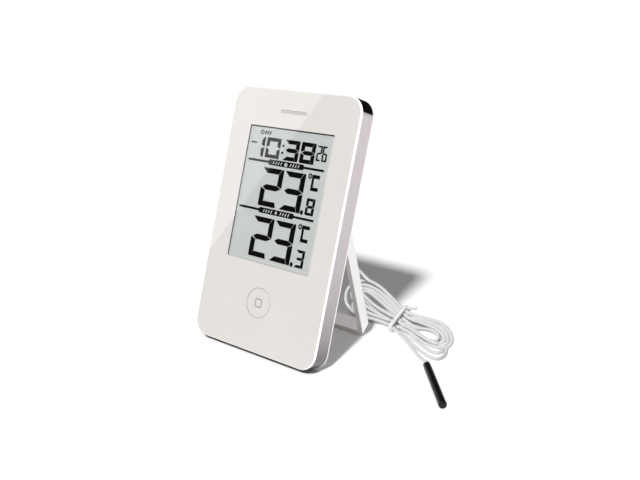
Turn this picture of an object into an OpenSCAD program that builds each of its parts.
// Digital indoor and outdoor thermometer with maximum and minimum memory.
// A flat upright case leans back on a folding stand, and a probe on a tied
// bundle of cable lies behind it.
// Case frame: x right, y up the case, z out of the front face, starting at the
// middle of the lower back edge. The case is then leaned back onto the table,
// so its front faces -y. Left and right are as seen from the front.

/* [Case] */
// Width of the case
case_w = 67; // [66:0.5:72]
// Height of the case
case_h = 110; // [108:0.5:116]
// Thickness of the case at its edge
case_t = 8.8; // [8.6:0.1:10]
// Radius of the four corners seen from the front
corner_r = 7.2; // [6.8:0.1:8]
// Angle the case leans back when the stand is open
lean_a = 17.7; // [15:0.1:20]
// Wall thickness of the edge band
band_wall = 1.4; // [1.2:0.1:1.6]
// Width of the bevel around the front panel
bevel_w = 0.5; // [0.4:0.02:0.84]
// Depth of the bevel around the front panel
bevel_d = 0.7; // [0.5:0.05:1]

/* [Front] */
// Width of the display window
window_w = 44.9; // [43:0.1:46]
// Height of the display window
window_h = 57; // [55:0.1:57.5]
// Offset of the window centre to the right of the middle
window_x = 0.4; // [0:0.1:0.5]
// Height of the window centre above the lower edge
window_y = 65.5; // [65:0.1:66]
// Height of the front button centre
button_y = 20.8; // [19:0.1:21]
// Radius of the front button
button_r = 6.2; // [5:0.1:6.3]
// Height of the slot centre
slot_y = 100.9; // [100.5:0.1:101.5]
// Length of the slot
slot_l = 14.4; // [10:0.1:15]

/* [Back] */
// Width of the raised block on the back
block_w = 47.8; // [47.6:0.1:48.4]
// How far the raised block stands out
block_d = 8; // [7.8:0.1:8.2]

/* [Stand] */
// Angle between the open stand and the back of the case
stand_a = 34.4; // [30:0.1:36]
// Half of the outer width of the stand
stand_hw = 26.6; // [26.6:0.1:28]
// Width of each leg seen from behind
leg_w = 2.3; // [2:0.1:2.3]
// Height of the foot bar
foot_h = 2.8; // [2.4:0.1:3]
// Depth of the legs and the foot bar
leg_d = 5.2; // [4.8:0.1:5.4]
// Slope of the foot bar's upper and lower faces
foot_a = 23; // [15:1:24]
// Radius of the foot's outer corners
foot_r = 2.5; // [1.5:0.1:2.5]
// Radius of the hinge pins
pin_r = 1.2; // [1:0.05:1.4]

/* [Cable and probe] */
// Radius of the probe cable
cable_r = 0.85; // [0.8:0.05:1.05]
// Radius of the probe
probe_r = 1.6; // [1.4:0.05:2]
// Length of the probe tube
probe_l = 32; // [24:1:34]

/* [Hidden] */
$fn = 48;

table_flat = 0.15;               // depth of the small flats that rest on the table
front_z = case_t;
plate_z = front_z - bevel_d;     // back of the bevelled rim
inner_z = front_z - 1.1;         // level that the parts behind the panel are set from
fit = 0.1;                       // gap between the edge band and what sits inside it

// Corner bosses and their screws, from the middle of the case
boss_x = 28.5;
boss_y = case_h / 2 - 6.7;
board_screw_spots = [[29.3, 45], [29.3, 90], [-29.3, 90]];

// Circuit board
board_back = 1.8;
board_t = 1;
part_z = board_back - 0.02;      // face of the parts behind the board that is next to it

// Raised block and what opens through it
block_y0 = 8;
block_y1 = 96;
block_wall = 1.6;
block_in_z = -block_d + block_wall;
cut_z = -block_d - 1;            // where cuts into the back of the block start
door_x = -13;
door_w = 16;
door_l = 49;
door_t = 1;
bay_w = 11.4;                    // battery bay between its ribs
bay_rib = 0.9;
rear_button_x = 11;
rear_button_y = 88;
exit_x = 14;                     // where the cable leaves the block
exit_y = 45;

// Hinge, and the stand length that brings its front lower corner to the table
hinge_y = 63.5;
hinge_z = -leg_d / 2 - 0.2;
hinge_up = to_table(0, hinge_y, hinge_z)[2];
tilt_a = stand_a - lean_a;
stand_l = (hinge_up + table_flat - leg_d / 2 * sin(tilt_a)) / cos(tilt_a);

// ---- placing ----
module lean() { translate([0, 0, -table_flat]) rotate([90 - lean_a, 0, 0]) children(); }
// the same move for a single point
function to_table(x, y, z) = [
  x,
  y * sin(lean_a) - z * cos(lean_a),
  y * cos(lean_a) + z * sin(lean_a) - table_flat];
module above_table() {
  difference() {
    children();
    translate([-150, -150, -10]) cube([300, 300, 10]);
  }
}
module at_middle(z = 0) { translate([0, case_h / 2, z]) children(); }
module at_window(z, up = 0) { translate([window_x, window_y + up, z]) children(); }
module at_block(z) { translate([0, (block_y0 + block_y1) / 2, z]) children(); }
module at_bosses() {
  for (i = [-1, 1]) for (j = [-1, 1]) translate([i * boss_x, case_h / 2 + j * boss_y, 0]) children();
}
module at_board_screws(z) {
  for (spot = board_screw_spots) translate([spot[0], spot[1], z]) children();
}

// ---- shapes ----
module rounded_rect(wide, high, radius) {
  square([wide - 2 * radius, high], center = true);
  square([wide, high - 2 * radius], center = true);
  for (i = [-1, 1]) for (j = [-1, 1])
    translate([i * (wide / 2 - radius), j * (high / 2 - radius)]) circle(radius);
}
module case_outline(inset = 0) {
  rounded_rect(case_w - 2 * inset, case_h - 2 * inset, corner_r - inset);
}
module round_slot(long, wide) {
  square([long - wide, wide], center = true);
  for (i = [-1, 1]) translate([i * (long - wide) / 2, 0]) circle(wide / 2);
}
// straight side of a bevelled plate, seen along the side
module bevel_section(wide, thick, bevel) {
  polygon([[-wide / 2, 0], [wide / 2, 0], [wide / 2 - bevel, thick], [-wide / 2 + bevel, thick]]);
}
// rounded plate whose top edge is bevelled over its full thickness
module bevelled_plate(wide, high, radius, thick, bevel) {
  for (i = [-1, 1]) for (j = [-1, 1])
    translate([i * (wide / 2 - radius), j * (high / 2 - radius), 0])
      cylinder(h = thick, r1 = radius, r2 = radius - bevel);
  translate([0, high / 2 - radius, 0]) rotate([90, 0, 0])
    linear_extrude(high - 2 * radius) bevel_section(wide, thick, bevel);
  translate([-wide / 2 + radius, 0, 0]) rotate([90, 0, 90])
    linear_extrude(wide - 2 * radius) bevel_section(high, thick, bevel);
}
module slab(from, to) { translate([0, 0, from]) linear_extrude(to - from) children(); }
module rod(from, to, radius) { translate([0, 0, from]) cylinder(h = to - from, r = radius); }

// ---- front of the case ----
module front_panel() color([0.93, 0.92, 0.905]) lean() difference() {
  union() {
    at_middle(plate_z) bevelled_plate(case_w, case_h, corner_r, bevel_d, bevel_w);
    at_middle() slab(inner_z - 0.4, plate_z + 0.05) case_outline(band_wall + fit);
    at_bosses() rod(1.65, inner_z + 0.05, 2.4);
  }
  at_window(0) linear_extrude(20) rounded_rect(window_w, window_h, 0.6);
  // recess for the flange of the window
  at_window(inner_z - 1) linear_extrude(1.65) rounded_rect(window_w + 2.6, window_h + 2.6, 0.5);
  translate([0, button_y, 0]) rod(0, 20, button_r + 0.15);
  translate([0, slot_y, 0]) linear_extrude(20) round_slot(slot_l, 1.4);
  at_bosses() rod(0, 5.6, 1);
}

// pane and the wider flange behind it
module display_window() color([0.85, 0.9, 0.9, 0.3]) lean() at_window(inner_z) {
  slab(0.6, 1.1) rounded_rect(window_w - 0.1, window_h - 0.1, 0.55);
  slab(0.17, 0.63) rounded_rect(window_w + 2.4, window_h + 2.4, 0.9);
}

module slot_insert() color([0.82, 0.81, 0.79]) lean() translate([0, slot_y, inner_z]) {
  slab(-0.5, 0.9) round_slot(slot_l - 0.1, 1.3);
  slab(-1.2, -0.44) round_slot(slot_l + 2.6, 3);
}

// square outline on the button; gap widens it on both sides for its groove
module icon_outline(gap = 0) {
  outer = 3.6 + 2 * gap;
  inner = 2.84 - 2 * gap;
  difference() {
    rounded_rect(outer, outer, 0.7 + gap);
    rounded_rect(inner, inner, 0.4 - gap);
  }
}
module front_button() color([0.93, 0.92, 0.905]) lean() translate([0, button_y, 0]) difference() {
  union() {
    rod(inner_z - 0.6, front_z - 0.05, button_r);
    rod(inner_z - 1.2, inner_z - 0.5, button_r + 1.1);
    rod(4.5, inner_z - 1.1, 1.6);
  }
  slab(front_z - 0.25, front_z + 0.75) icon_outline(0.02);
}
module button_icon() color([0.6, 0.59, 0.58]) lean() translate([0, button_y, 0])
  slab(front_z - 0.24, front_z - 0.05) icon_outline();

// ---- edge band, split near its top ----
cap_y = case_h - 0.77 * corner_r;
cap_gap = 0.02;                  // from the split to each piece
module edge_ring() {
  at_middle() slab(0.62, plate_z - 0.02) difference() {
    case_outline();
    case_outline(band_wall);
  }
}
module top_region(from_y) { translate([-50, from_y, -1]) cube([100, 50, 20]); }
module side_band() color([0.84, 0.80, 0.81]) lean() difference() {
  edge_ring();
  top_region(cap_y - cap_gap);
}
module top_cap() color([0.03, 0.03, 0.035]) lean() intersection() {
  edge_ring();
  top_region(cap_y + cap_gap);
}

// ---- back of the case ----
cover_t = 0.6;
cover_in_z = 1.6;
block_bevel = 1.2;
block_h = block_y1 - block_y0;

module block_hole(radius) { rod(cut_z, cut_z + 4, radius); }
// battery bay ribs on both sides and across the top
module bay_ribs() {
  high = cover_in_z + 10;
  for (x = [-bay_w / 2 - bay_rib, bay_w / 2])
    translate([door_x + x, block_y0 + 1, -10]) cube([bay_rib, 50.6, high]);
  translate([door_x - bay_w / 2 - bay_rib, 58.3, -10]) cube([bay_w + 2 * bay_rib, 1.2, high]);
}
module keyhole() {
  low_y = 76;
  rise = 6.5;
  slot_r = 1.7;
  translate([0, low_y, 0]) block_hole(3.6);
  translate([-slot_r, low_y, cut_z]) cube([2 * slot_r, rise, 4]);
  translate([0, low_y + rise, 0]) block_hole(slot_r);
}
module back_cover() color([0.93, 0.925, 0.91]) above_table() lean() difference() {
  union() {
    at_middle() slab(0, cover_t) case_outline();
    at_middle() slab(0.5, cover_in_z) case_outline(band_wall + fit);
    at_block(-block_d + block_bevel) {
      linear_extrude(block_d) rounded_rect(block_w, block_h, 3);
      mirror([0, 0, 1]) bevelled_plate(block_w, block_h, 3, block_bevel, block_bevel);
    }
  }
  // hollow of the raised block, open to the inside of the case
  difference() {
    at_block(block_in_z) linear_extrude(20)
      rounded_rect(block_w - 2 * block_wall, block_h - 2 * block_wall, 1.8);
    bay_ribs();
  }
  // hinge holes in both sides of the block
  translate([-60, hinge_y, hinge_z]) rotate([0, 90, 0]) cylinder(h = 120, r = pin_r + 0.05);
  // battery door seat, open at the lower end, and the opening behind it
  translate([door_x - door_w / 2 - 0.1, block_y0 - 5, cut_z])
    cube([door_w + 0.2, door_l + 5.1, door_t + 1.1]);
  translate([door_x - bay_w / 2, block_y0 + 3.2, cut_z]) cube([bay_w, 43.6, 4]);
  // wall hanging hole
  keyhole();
  for (i = [-1, 1]) translate([i * rear_button_x, rear_button_y, 0]) block_hole(2.5);
  translate([exit_x, exit_y, 0]) block_hole(2.25);
  // vents for the room sensor
  for (i = [0 : 3]) translate([exit_x - 3, 16 + 3 * i, cut_z]) linear_extrude(4) round_slot(12, 1.2);
  // case screw seats
  at_bosses() {
    rod(-1, 1, 2.05);
    rod(-1, 3, 1.05);
  }
  at_board_screws(0.45) cylinder(h = 3, r = 0.75);
}

module battery_door() color([0.93, 0.925, 0.91]) lean() difference() {
  union() {
    translate([door_x - door_w / 2, block_y0, -block_d]) cube([door_w, door_l, door_t]);
    // grip ridges
    for (i = [0 : 3])
      translate([door_x - 4, block_y0 + 39 + 1.6 * i, -block_d - 0.3]) cube([8, 0.7, 0.5]);
  }
  // arrow-shaped dent that shows the sliding direction
  translate([door_x, block_y0 + 33, cut_z]) linear_extrude(1.3)
    polygon([[-2.4, 2], [2.4, 2], [0, -2]]);
}

module rear_button(x) lean() translate([x, rear_button_y, 0]) {
  rod(-block_d - 0.4, block_in_z + 0.2, 2.4);
  rod(block_in_z + 0.1, block_in_z + 0.8, 3.2);
  rod(block_in_z + 0.7, -0.7, 1.2);
}
module rear_button_left() color([0.80, 0.80, 0.79]) rear_button(-rear_button_x);
module rear_button_right() color([0.80, 0.80, 0.79]) rear_button(rear_button_x);

// cross-head screw, head down at z = 0
module screw(shank_r, head_r, head_h, long) {
  difference() {
    union() {
      cylinder(h = head_h, r = head_r);
      cylinder(h = long, r = shank_r);
    }
    for (a = [0, 90]) rotate([0, 0, a])
      translate([-head_r * 0.65, -0.18, -0.1]) cube([head_r * 1.3, 0.36, head_h * 0.6]);
  }
}
module case_screws() color([0.7, 0.71, 0.72]) lean() at_bosses() translate([0, 0, 0.05])
  screw(shank_r = 0.95, head_r = 1.9, head_h = 0.93, long = 5);
module board_screws() color([0.75, 0.7, 0.5]) lean() at_board_screws(3.62) mirror([0, 0, 1])
  screw(shank_r = 0.68, head_r = 1.4, head_h = 0.8, long = 2.9);

// ---- stand, drawn folded with its hinge axis at the origin, then opened ----
// outline seen along the slope of the foot bar, from the foot's front lower edge upwards
module stand_outline() {
  bar_top = foot_h * cos(foot_a);
  inner_hw = stand_hw - leg_w;
  inner_r = 1;
  difference() {
    union() {
      translate([-stand_hw, foot_r]) square([2 * stand_hw, stand_l + 6]);
      translate([-stand_hw + foot_r, 0]) square([2 * (stand_hw - foot_r), 5]);
      for (i = [-1, 1]) translate([i * (stand_hw - foot_r), foot_r]) circle(foot_r);
    }
    translate([-inner_hw, bar_top + inner_r]) square([2 * inner_hw, stand_l + 20]);
    translate([-inner_hw + inner_r, bar_top]) square([2 * (inner_hw - inner_r), 3]);
    for (i = [-1, 1]) translate([i * (inner_hw - inner_r), bar_top + inner_r]) circle(inner_r);
  }
}
// side view of a leg, rounded at the hinge
module leg_side() {
  translate([-stand_l - 10, -leg_d / 2]) square([stand_l + 10, leg_d]);
  circle(leg_d / 2);
}
module stand() color([0.91, 0.915, 0.90]) above_table() lean()
  translate([0, hinge_y, hinge_z]) rotate([stand_a, 0, 0]) {
    intersection() {
      translate([0, -stand_l, leg_d / 2]) rotate([foot_a, 0, 0]) translate([0, 0, -45])
        linear_extrude(60) stand_outline();
      translate([-50, 0, 0]) rotate([90, 0, 90]) linear_extrude(100) leg_side();
    }
    for (i = [-1, 1]) translate([i * (stand_hw - leg_w - 0.8), 0, 0]) rotate([0, 90, 0])
      cylinder(h = 2.2, r = pin_r, center = true);
  }

// ---- display ----
cell_w = 50;
cell_h = 61.6;
cell_low = window_y - cell_h / 2;  // lower edge of the display cell
opening_up = 1.5;                  // rise of the frame opening above the window centre

module lcd_cell() color([0.80, 0.83, 0.82]) lean() at_window(inner_z - 1.6) {
  linear_extrude(1.12) square([cell_w, cell_h], center = true);
  slab(1.1, 1.62) square([window_w + 2.2, window_h + 2.2], center = true);
}
module lcd_reflector() color([0.74, 0.76, 0.76]) lean() at_window(inner_z - 1.98, opening_up)
  linear_extrude(0.33) square([45.6, 54.6], center = true);
module lcd_frame() color([0.9, 0.9, 0.88]) lean() difference() {
  at_window(2.85) linear_extrude(inner_z - 3.3) rounded_rect(54, 66, 1);
  at_window(inner_z - 1.64) linear_extrude(5) square([cell_w + 0.2, cell_h + 0.2], center = true);
  at_window(0, opening_up) linear_extrude(9) square([46, 55], center = true);
  // notch in the lower left corner
  translate([-20, 31, 0]) cube([14, 9, 4.3]);
  // channel for the zebra strip
  translate([-20, cell_low + 0.4, 2]) cube([40, 2, 6]);
}
module zebra_strip() color([0.25, 0.25, 0.3]) lean()
  translate([-4.6, cell_low + 0.6, 2.83]) cube([24, 1.6, inner_z - 4.46]);

// Lit bars of the numerals 0 to 9: top first, then clockwise, with the middle bar last
LIT = [
  [1,1,1,1,1,1,0], [0,1,1,0,0,0,0], [1,1,0,1,1,0,1], [1,1,1,1,0,0,1], [0,1,1,0,0,1,1],
  [1,0,1,1,0,1,1], [1,0,1,1,1,1,1], [1,1,1,0,0,0,0], [1,1,1,1,1,1,1], [1,1,1,1,0,1,1]];
// In the bars below, x and y are half the width and height of the numeral, bar is the
// width of its uprights, and mitre tells how far from the corner a mitre ends.
// level bar at the top, lengthened to the left and right where no upright meets it
module bar_level(x, y, bar, gap, mitre, left = 0, right = 0) {
  polygon([
    [-x + gap + 0.12 * bar - left, y],
    [x - mitre * bar - gap / 2 + right, y],
    [x - bar - gap / 2 + right, y - 0.9 * bar],
    [-x + bar + gap / 2 - left, y - 0.9 * bar],
    [-x + gap - left, y - 0.1 * bar]]);
}
// upper upright on the right
module bar_side(x, y, bar, gap, mitre) {
  polygon([
    [x - mitre * bar + gap / 2, y],
    [x - 0.12 * bar, y],
    [x, y - 0.12 * bar],
    [x, gap / 2 + 0.06 * bar],
    [x - bar, 0.46 * bar + gap / 2],
    [x - bar, y - 0.9 * bar - gap / 2]]);
}
module bar_mid(x, bar, gap, left) {
  polygon([
    [-x + 0.4 * bar - left, 0],
    [-x + 1.1 * bar - left, 0.46 * bar],
    [x - bar - 0.7 * gap, 0.46 * bar],
    [x - 1.2 * gap, 0],
    [x - bar - 0.7 * gap, -0.46 * bar],
    [-x + 1.1 * bar - left, -0.46 * bar]]);
}
module digit(numeral, wide, high, bar, gap) {
  lit = LIT[numeral];
  x = wide / 2;
  y = high / 2;
  extra = 0.16 * bar;
  if (lit[0]) bar_level(x, y, bar, gap, 0.42, left = lit[5] ? 0 : extra);
  if (lit[1]) bar_side(x, y, bar, gap, 0.42);
  if (lit[2]) mirror([0, 1]) bar_side(x, y, bar, gap, 0.72);
  if (lit[3]) mirror([0, 1])
    bar_level(x, y, bar, gap, 0.72, left = lit[4] ? 0 : extra, right = lit[2] ? 0 : extra);
  if (lit[4]) rotate(180) bar_side(x, y, bar, gap, 0.2);
  if (lit[5]) mirror([1, 0]) bar_side(x, y, bar, gap, 0.2);
  if (lit[6]) bar_mid(x, bar, gap, left = lit[4] || lit[5] ? 0 : 0.12 * bar);
}
// one temperature reading: 23, a point, the tenths, a degree sign and a squared C
module reading(tenths, stretch) {
  translate([-5.95, 0]) digit(2, 11.05, 16.4 * stretch, 2.45, 0.24);
  translate([5.95, 0]) digit(3, 10.55, 16.4 * stretch, 2.45, 0.24);
  translate([12.3, -7.55 * stretch]) scale([0.95, 1.2]) circle(0.8);
  translate([16.05, -4.72 * stretch]) digit(tenths, 4.35, 6.95 * stretch, 1.22, 0.14);
  translate([13.35, 7.75 * stretch]) scale([0.95, 1.12]) difference() {
    circle(0.98);
    circle(0.46);
  }
  translate([14.45, 1.9 * stretch]) square([1.06, 6.6 * stretch]);
  for (y = [1.9 * stretch, 8.5 * stretch - 1.45]) translate([15.4, y]) square([2.85, 1.45]);
}
// slanted dash
module dash(high) {
  y = high / 2;
  lean_x = high / 8;
  polygon([[-0.4 - lean_x, -y], [0.2 - lean_x, -y], [0.4 + lean_x, y], [-0.2 + lean_x, y]]);
}
// line with a long label that holds a pictogram between rows of dashes
module divider(label_x) {
  difference() {
    union() {
      square([40.6, 0.92], center = true);
      translate([label_x, 0])
        polygon([[-9.85, 0], [-9.1, 1.15], [9.1, 1.15], [9.85, 0], [9.1, -1.15], [-9.1, -1.15]]);
    }
    translate([label_x, 0]) children();
    for (i = [-1, 1]) for (k = [0 : 3]) translate([label_x + i * (2.5 + 1.4 * k), 0]) dash(1.3);
  }
}
module house() {
  polygon([[-1.15, 0.05], [0, 0.88], [1.15, 0.05], [0.8, 0.05], [0.8, -0.8], [-0.8, -0.8],
    [-0.8, 0.05]]);
}
module tree() {
  polygon([[-0.95, -0.42], [-0.3, 0.18], [-0.7, 0.18], [0, 0.88], [0.7, 0.18], [0.3, 0.18],
    [0.95, -0.42], [0.2, -0.42], [0.2, -0.85], [-0.2, -0.85], [-0.2, -0.42]]);
}
module clock_face() {
  difference() {
    circle(0.95);
    circle(0.68);
  }
  translate([-0.1, -0.1]) square([0.2, 0.6]);
  translate([-0.1, -0.1]) square([0.5, 0.2]);
}
// Clock row: numeral, x, y, width, height, bar width, gap
CLOCK = [
  [1, -17.0, 19.85, 7.6, 8.5, 1.6, 0.16],
  [0, -8.3, 19.85, 7.6, 8.5, 1.6, 0.16],
  [3, 1.9, 19.9, 7.5, 8.6, 1.85, 0.16],
  [8, 10.3, 19.9, 7.4, 8.6, 1.85, 0.16],
  [2, 16.1, 20.55, 2.5, 6.2, 0.72, 0.07],
  [6, 18.85, 20.55, 2.5, 6.2, 0.72, 0.07]];
module lcd_segments() color([0.1, 0.1, 0.1]) lean()
  translate([0, window_y, inner_z + 0.02]) linear_extrude(0.1) {
    for (row = CLOCK) translate([row[1], row[2]]) digit(row[0], row[3], row[4], row[5], row[6]);
    for (y = [18.5, 21.4]) translate([-2.95, y]) circle(0.55);
    translate([-15.6, 25.95]) clock_face();
    for (k = [0 : 2]) translate([-13.7 + 1.3 * k, 25.95]) dash(1.5);
    translate([-19.2, 21.3]) square([3.1, 0.55], center = true);
    translate([-0.35, 13.9]) divider(0.5) house();
    translate([-0.8, -6.5]) divider(0.4) tree();
    translate([0.42, 3.4]) reading(8, 0.988);
    translate([0.15, -17.8]) reading(3, 1.037);
  }

// ---- electronics ----
module circuit_board() color([0.1, 0.4, 0.2]) lean() difference() {
  translate([0, 0, board_back]) linear_extrude(board_t) union() {
    translate([-5, 11]) square([36, 50]);
    translate([-31, 60]) square([62, 37.8]);
  }
  at_board_screws(board_back - 1) cylinder(h = 4, r = 0.8);
}
module controller_chip() color([0.06, 0.06, 0.06]) lean() translate([8, 70, part_z])
  mirror([0, 0, 1]) rotate_extrude($fn = 48)
    polygon([[0, 0], [5, 0], [4.6, 0.45], [3.4, 0.85], [1.8, 1.05], [0, 1.1]]);
module quartz_crystal() color([0.8, 0.8, 0.82]) lean()
  translate([-14, 72, 0.7]) rotate([0, 90, 0]) {
    cylinder(h = 6, r = 1);
    rod(6, 6.5, 0.8);
  }
capacitor_spots = [[-20, 78], [-16, 78], [16, 62], [19.5, 62], [12.5, 62], [0, 62]];
module capacitors() color([0.7, 0.6, 0.4]) lean() for (spot = capacitor_spots)
  translate([spot[0], spot[1], 0.9]) cube([2, 1.2, part_z - 0.9]);
module front_switch() color([0.2, 0.2, 0.22]) lean() translate([0, button_y, 0]) {
  translate([-3, -3, board_back + board_t + 0.02]) cube([6, 6, 0.9]);
  rod(3.7, 4.05, 1.2);
}
module rear_switches() color([0.2, 0.2, 0.22]) lean() for (i = [-1, 1])
  translate([i * rear_button_x, rear_button_y, 0]) {
    translate([-2.2, -2.2, 0.5]) cube([4.4, 4.4, part_z - 0.5]);
    rod(-0.25, 0.55, 1);
  }
module room_sensor() color([0.15, 0.1, 0.08]) lean() translate([11, 21, 0]) {
  bead_z = -4.2;
  translate([0, 0, bead_z]) sphere(r = 1.1);
  for (i = [-1, 1]) translate([i * 0.5, 0, 0]) rod(bead_z, part_z, 0.2);
}

// ---- battery ----
battery_z = -1.05;
battery_r = 5.15;
contact_w = 8.8;
// profile: radius, height above the flat end; the button end is last
module battery_cell() color([0.3, 0.35, 0.4]) lean()
  translate([door_x, 13, battery_z]) rotate([-90, 0, 0]) rotate_extrude($fn = 64) polygon([
    [0, 0], [3.4, 0], [3.5, 0.25], [battery_r - 0.35, 0.25], [battery_r, 0.6],
    [battery_r, 42.9], [battery_r - 0.35, 43.25], [2.1, 43.25], [1.9, 44.2], [0, 44.2]]);
// sprung leaf that presses on the flat end of the cell
module battery_spring() color([0.8, 0.8, 0.8]) lean()
  translate([door_x, block_y0 + block_wall + 0.05, battery_z]) {
    translate([-contact_w / 2, 0, -4]) cube([contact_w, 0.35, 8]);
    translate([-2.2, 0, 0]) rotate([90, 0, 90]) linear_extrude(4.4) intersection() {
      translate([-0.28, 0]) difference() {
        circle(3.5);
        circle(3.2);
      }
      translate([0.2, -4]) square([6, 8]);
    }
  }
module battery_plate() color([0.8, 0.78, 0.7]) lean()
  translate([door_x, 57.25, battery_z]) difference() {
    translate([-contact_w / 2, 0, -4]) cube([contact_w, 0.9, 8]);
    translate([-5, 0.4, -3]) cube([10, 1, 6]);
  }

// ---- tube along a path: every ring has the same count of points ----
function unit(v) = v / norm(v);
module tube(path, radius, sides) {
  last = len(path) - 1;
  points = [for (i = [0 : last]) let (
    ahead = unit(path[min(i + 1, last)] - path[max(i - 1, 0)]),
    side = unit(cross(ahead, [0, 0, 1])),
    up = cross(side, ahead))
    for (j = [0 : sides - 1])
      path[i] + radius * (cos(360 * j / sides) * side + sin(360 * j / sides) * up)];
  polyhedron(points = points, faces = concat(
    [[for (j = [0 : sides - 1]) j]],
    [[for (j = [sides - 1 : -1 : 0]) last * sides + j]],
    [for (i = [0 : last - 1]) for (j = [0 : sides - 1])
      let (a = i * sides + j, b = i * sides + (j + 1) % sides)
      each [[a, a + sides, b], [b, a + sides, b + sides]]]));
}

// ---- cable: enters the bundle, winds outwards lane by lane, and leaves for the probe ----
bundle_at = [32.2, 50.9, 2.2];   // a point on the lower side of the bundle
bundle_a = -9;                   // heading of the bundle's long axis
bundle_tilt = 40;                // tilt of the plane the turns lie in
bundle_long = [cos(bundle_a), sin(bundle_a), 0];
bundle_wide = [-sin(bundle_a), cos(bundle_a), 0] * cos(bundle_tilt)
  + [0, 0, 1] * sin(bundle_tilt);
bundle_out = cross(bundle_long, bundle_wide);
tie_at = 1.5;                    // place of the tie along the long axis

function ease(t) = let (c = max(0, min(1, t))) c * c * (3 - 2 * c);
function signed_pow(x, power) = sign(x) * pow(abs(x), power);
// point of the coil at an angle; the pitch of the lanes, the half-width of the
// hole and the middle line all vary with the distance to the left or right of the tie
function lane(angle, number) = let (
  c = cos(angle),
  s = sin(angle),
  reach = c >= 0 ? 21.6 + 3.1 * number : 26 + 2.9 * number,
  off = reach * signed_pow(c, 0.9),
  pitch = 1.8 + 0.45 * ease(-off / 14) - 0.25 * ease(off / 12),
  hole = 3.3 * ease(-off / 20) + 1.6 * ease(off / 18),
  middle = 5.6 + 3 * ease(-off / 24) - 0.2 * ease(off / 20),
  across = middle + signed_pow(s, 0.75) * (hole + (number + 0.5) * pitch),
  lift = 1.2 * cos(180 * number) * max(-1, min(1, 1.6 * s)))
  bundle_at + bundle_long * (tie_at + off) + bundle_wide * across + bundle_out * lift;
// the lane number grows by one at the left end of each turn
function lane_number(angle) = let (turned = -angle - 135, turns = floor(turned / 360))
  turned < 0 ? 0 : turns + min(1, (turned / 360 - turns) * 4);
// curve from one point and tangent to another, at t from 0 to 1
function hermite(start, start_tan, end, end_tan, t) =
  (2 * t * t * t - 3 * t * t + 1) * start + (t * t * t - 2 * t * t + t) * start_tan
  + (3 * t * t - 2 * t * t * t) * end + (t * t * t - t * t) * end_tan;

coil = [for (angle = [112 : -8 : -1080]) lane(angle, lane_number(angle))];
coil_end = coil[len(coil) - 1];
coil_in_dir = unit(coil[1] - coil[0]);
coil_out_dir = unit(coil_end - coil[len(coil) - 2]);
exit_in = to_table(exit_x, exit_y, -4);
exit_out = to_table(exit_x, exit_y, -10.5);
exit_dir = unit(exit_out - exit_in);
// point and direction halfway between the case and the bundle
way = [15.6, 50, 27];
way_dir = unit([2.4, 9.5, -10.5]);
probe_dir = [0.6531, -0.7573, 0];
probe_top = [64.2, 28, probe_r];
collar_l = 2;
collar_floor = -0.9;             // end of the cable in the collar, along the probe axis
cable_end = probe_top - probe_dir * (collar_l + collar_floor);
cable_path = concat(
  [exit_in, exit_out],
  [for (i = [1 : 7]) hermite(exit_out, exit_dir * 34, way, way_dir * 30, i / 8)],
  [for (i = [0 : 6]) hermite(way, way_dir * 26, coil[0], coil_in_dir * 22, i / 7)],
  coil,
  [for (i = [1 : 9]) hermite(coil_end, coil_out_dir * 26, cable_end, probe_dir * 26, i / 10)],
  [cable_end - probe_dir * 0.3, cable_end]);
module probe_cable() color([0.92, 0.92, 0.91]) tube(cable_path, cable_r, 8);

module cable_grommet() color([0.86, 0.86, 0.85]) lean() translate([exit_x, exit_y, 0])
  difference() {
    union() {
      rod(-block_d - 1.2, -block_d - 0.03, 2.8);
      rod(-block_d - 0.1, block_in_z + 0.1, 2.2);
      rod(block_in_z + 0.05, block_in_z + 0.9, 2.9);
    }
    rod(-20, 0, cable_r + 0.08);
  }
module sensor_wires() color([0.85, 0.85, 0.85]) lean() for (i = [-1, 1])
  translate([exit_x + i * 0.55, exit_y, 0]) rod(-3.9, 1.75, 0.4);

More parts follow.
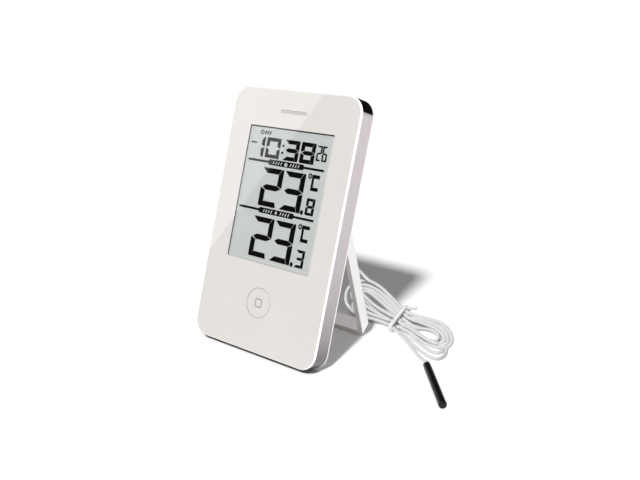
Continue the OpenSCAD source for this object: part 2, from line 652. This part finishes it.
module bundle_frame() {
  multmatrix([for (i = [0 : 2]) [bundle_long[i], bundle_wide[i], bundle_out[i], bundle_at[i]],
    [0, 0, 0, 1]]) children();
}
module tie_loop(radius) {
  low = 2.1;
  high = 10.9;
  for (x = [low, high]) translate([x, 0]) circle(radius);
  translate([low, -radius]) square([high - low, 2 * radius]);
}
// loop around the bundle and its loose end
module cable_tie() color([0.95, 0.95, 0.94]) bundle_frame() translate([tie_at, 0, 0]) {
  rotate([90, 0, 90]) slab(-0.9, 0.9) difference() {
    tie_loop(3.45);
    tie_loop(2.85);
  }
  translate([0.3, 14.1, 0.6]) rotate([0, 90, -20]) cylinder(h = 6.5, r = 0.55);
}

// ---- probe, along its own axis, laid on the table ----
module probe_frame() {
  translate(probe_top) rotate([0, 90, atan2(probe_dir[1], probe_dir[0])]) children();
}
module probe_tube() color([0.05, 0.05, 0.055]) probe_frame() rotate_extrude($fn = 48) polygon([
  [probe_r - 0.35, 0], [probe_r, 0], [probe_r, probe_l - 0.8],
  [probe_r - 0.12, probe_l - 0.35], [probe_r - 0.45, probe_l - 0.05], [probe_r - 0.7, probe_l],
  [0, probe_l], [0, probe_l - 0.8], [probe_r - 0.35, probe_l - 1.1]]);
module probe_collar() color([0.9, 0.9, 0.89]) probe_frame() difference() {
  union() {
    rod(-collar_l, -0.03, probe_r - 0.22);
    rod(-0.1, 4, probe_r - 0.4);
  }
  rod(-collar_l - 1, -0.95, cable_r + 0.07);
}
module probe_sensor() color([0.2, 0.15, 0.1]) probe_frame() {
  bead_z = probe_l - 4;
  translate([0, 0, bead_z]) sphere(r = 0.9);
  for (i = [-1, 1]) translate([i * 0.4, 0, 0]) rod(4.05, bead_z, 0.18);
}

front_panel();
display_window();
slot_insert();
front_button();
button_icon();
side_band();
top_cap();
back_cover();
battery_door();
stand();
rear_button_left();
rear_button_right();
case_screws();
board_screws();
lcd_cell();
lcd_segments();
lcd_reflector();
lcd_frame();
zebra_strip();
circuit_board();
controller_chip();
quartz_crystal();
capacitors();
front_switch();
rear_switches();
room_sensor();
battery_cell();
battery_spring();
battery_plate();
cable_grommet();
probe_cable();
sensor_wires();
cable_tie();
probe_tube();
probe_collar();
probe_sensor();
